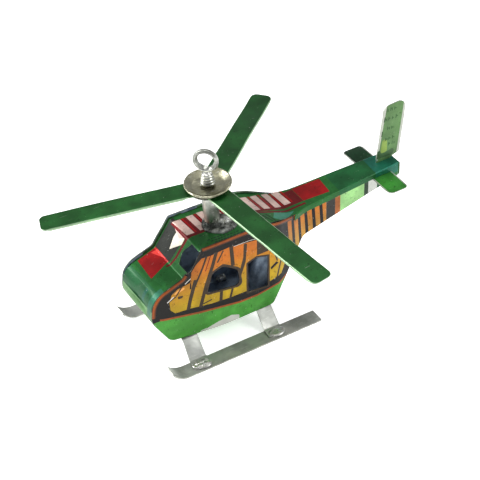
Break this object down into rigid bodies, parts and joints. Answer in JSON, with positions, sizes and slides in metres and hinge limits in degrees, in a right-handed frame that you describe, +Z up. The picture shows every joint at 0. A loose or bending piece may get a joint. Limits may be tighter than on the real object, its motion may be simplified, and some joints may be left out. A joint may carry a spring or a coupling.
{
  "type": "toy helicopter",
  "caption": "Hand-made tin toy helicopter on skids with a freely turning bladed rotor and a hanging eye on top.",
  "frame": {"origin": "on the surface the skids stand on, below the middle of the rotor hub", "axes": "+X towards the nose, +Y to port, +Z up"},
  "size_m": [0.1186, 0.0863, 0.0655],
  "materials": {
    "printed_top": "glossy printed tinplate, green with a red band",
    "printed_side": "glossy printed tinplate, orange and yellow shapes on black",
    "green_tin": "glossy transparent green lacquer on tinplate",
    "fin_tin": "glossy light green printed tinplate",
    "bare_tin": "bare tinplate, dull and lightly tarnished",
    "hub_disc": "tarnished pressed disc",
    "wire": "tinned steel wire",
    "solder": "soft solder, satin"
  },
  "bodies": {
    "fuselage": {"top_strip": "printed_top", "belly_strip": "green_tin", "port_side": "printed_side", "starboard_side": "printed_side", "nose_seam_solder": "solder", "side_seam_solder": "solder", "tail_solder": "solder", "mast_tube": "bare_tin", "mast_solder": "solder", "solder_bead": "solder", "spindle_wire": "wire", "spindle_plug": "solder", "spindle_anchor": "solder", "shank_wrap": "wire", "front_leg_strap": "bare_tin", "rear_leg_strap": "bare_tin", "leg_solder": "solder", "foot_solder": "solder", "port_skid": "bare_tin", "starboard_skid": "bare_tin", "tail_fin": "fin_tin", "stabilizer": "green_tin"},
    "rotor": {"lower_hub_disc": "bare_tin", "upper_hub_disc": "hub_disc", "rotor_blade_1": "green_tin", "rotor_blade_2": "green_tin", "rotor_blade_3": "green_tin", "blade_solder": "solder"}
  },
  "joints": [
    {"name": "rotor_spin", "type": "hinge", "parent": "fuselage", "child": "rotor", "pos_m": [0, 0, 0.0516], "axis": [0.0488, 0, 0.9988], "continuous": true}
  ]
}
